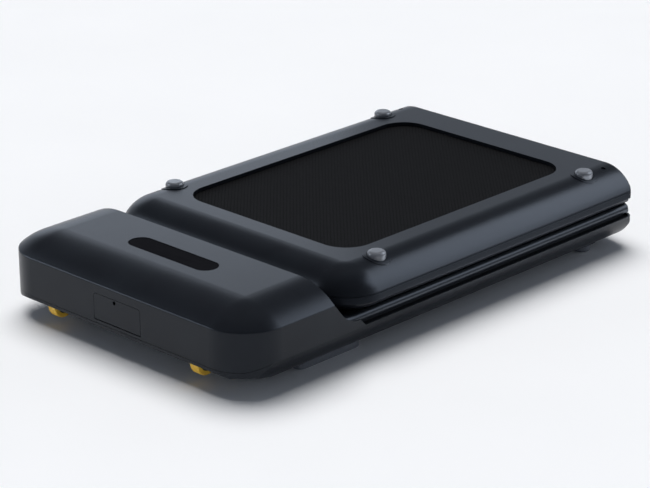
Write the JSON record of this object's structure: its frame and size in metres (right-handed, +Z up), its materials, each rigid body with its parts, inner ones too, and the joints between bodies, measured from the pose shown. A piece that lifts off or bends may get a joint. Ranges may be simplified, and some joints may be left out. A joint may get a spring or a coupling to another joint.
{
  "type": "folding walking pad",
  "caption": "Flat folding walking treadmill, folded shut: hooded motor half on the floor, tail half upside down on it, belt running round the fold.",
  "frame": {"origin": "on the floor under the middle of the folded pad's bounding box", "axes": "+X across the pad to its right, -Y towards the hood, +Y towards the fold, +Z up"},
  "size_m": [0.518, 0.859, 0.132],
  "materials": {
    "shell_plastic": "moulded, dark graphite, satin",
    "black_plastic": "moulded, black, fine grain",
    "smoked_lens": "smoked, polished",
    "belt_rubber": "diamond tread, matt black",
    "painted_steel": "folded and welded steel, black powder coat",
    "bright_steel": "turned, zinc plated",
    "cast_alloy": "cast and turned",
    "deck_board": "pressed fibre board, waxed",
    "foot_rubber": "moulded, dark grey, domed",
    "cushion_rubber": "soft block",
    "golden_tyre": "golden yellow, moulded",
    "hub_plastic": "moulded",
    "circuit_board": "lacquered laminate",
    "contact_brass": "stamped",
    "motor_paint": "rolled steel can, black paint",
    "drive_rubber": "ribbed"
  },
  "bodies": {
    "front_half": {"front_base_shell": "shell_plastic", "motor_hood": "shell_plastic", "front_rail_left": "shell_plastic", "front_rail_right": "shell_plastic", "front_frame": "painted_steel", "front_deck": "deck_board", "front_deck_cushions": "cushion_rubber", "front_hinge_leaves": "painted_steel", "front_hinge_bolts": "bright_steel", "front_shell_screws": "bright_steel", "hinge_pins": "bright_steel", "front_feet": "foot_rubber", "front_pads": "foot_rubber", "belt_front": "belt_rubber", "belt_fold_outer": "belt_rubber", "belt_fold_inner": "belt_rubber", "front_roller_axle": "bright_steel", "motor_can": "motor_paint", "motor_bracket": "painted_steel", "drive_belt": "drive_rubber", "controller_board": "circuit_board", "heat_sink": "cast_alloy", "display_lens": "smoked_lens", "display_board": "circuit_board", "inlet_box": "black_plastic", "power_inlet": "black_plastic", "inlet_blades": "contact_brass", "switch_housing": "black_plastic", "flap_pins": "bright_steel", "wheel_brackets": "painted_steel", "wheel_axles": "bright_steel"},
    "rear_half": {"rear_base_shell": "shell_plastic", "rear_tail_cover": "shell_plastic", "rear_rail_left": "shell_plastic", "rear_rail_right": "shell_plastic", "rear_frame": "painted_steel", "rear_deck": "deck_board", "rear_deck_cushions": "cushion_rubber", "rear_hinge_leaves": "painted_steel", "rear_hinge_bolts": "bright_steel", "rear_shell_screws": "bright_steel", "rear_feet": "foot_rubber", "belt_rear": "belt_rubber", "rear_roller_axle": "bright_steel", "tension_plates": "painted_steel", "tension_bolts": "bright_steel"},
    "front_roller_body": {"front_roller": "bright_steel", "front_roller_bearings": "bright_steel", "roller_pulley": "cast_alloy"},
    "rear_roller_body": {"rear_roller": "bright_steel", "rear_roller_bearings": "bright_steel"},
    "motor_rotor_body": {"motor_rotor": "bright_steel", "motor_pulley": "cast_alloy"},
    "wheel_left": {"wheel_hub_left": "hub_plastic", "wheel_tyre_left": "golden_tyre"},
    "wheel_right": {"wheel_hub_right": "hub_plastic", "wheel_tyre_right": "golden_tyre"},
    "flap": {"front_flap": "shell_plastic"},
    "rocker": {"switch_rocker": "black_plastic"}
  },
  "joints": [
    {"name": "fold", "type": "hinge", "parent": "front_half", "child": "rear_half", "pos_m": [0, 0.4175, 0.066], "axis": [-1, 0, 0], "range_deg": [0, 180], "deforming": ["belt_fold_outer", "belt_fold_inner"]},
    {"name": "front_roller_spin", "type": "hinge", "parent": "front_half", "child": "front_roller_body", "pos_m": [0, -0.29512, 0.0377], "axis": [1, 0, 0], "continuous": true},
    {"name": "rear_roller_spin", "type": "hinge", "parent": "rear_half", "child": "rear_roller_body", "pos_m": [0, -0.18302, 0.0943], "axis": [1, 0, 0], "continuous": true},
    {"name": "motor_spin", "type": "hinge", "parent": "front_half", "child": "motor_rotor_body", "pos_m": [0, -0.3485, 0.0571], "axis": [1, 0, 0], "continuous": true},
    {"name": "wheel_left_spin", "type": "hinge", "parent": "front_half", "child": "wheel_left", "pos_m": [-0.151, -0.4055, 0.0315], "axis": [1, 0, 0], "continuous": true},
    {"name": "wheel_right_spin", "type": "hinge", "parent": "front_half", "child": "wheel_right", "pos_m": [0.151, -0.4055, 0.0315], "axis": [1, 0, 0], "continuous": true},
    {"name": "flap_open", "type": "hinge", "parent": "front_half", "child": "flap", "pos_m": [0, -0.4282, 0.0473], "axis": [1, 0, 0], "range_deg": [0, 95]},
    {"name": "switch_rock", "type": "hinge", "parent": "front_half", "child": "rocker", "pos_m": [0.026, -0.4, 0.066], "axis": [1, 0, 0], "range_deg": [0, 16]}
  ],
  "couplings": [
    {"joint": "motor_spin", "follows": "front_roller_spin", "ratio": 2.4078},
    {"joint": "rear_roller_spin", "follows": "front_roller_spin", "ratio": 1}
  ]
}
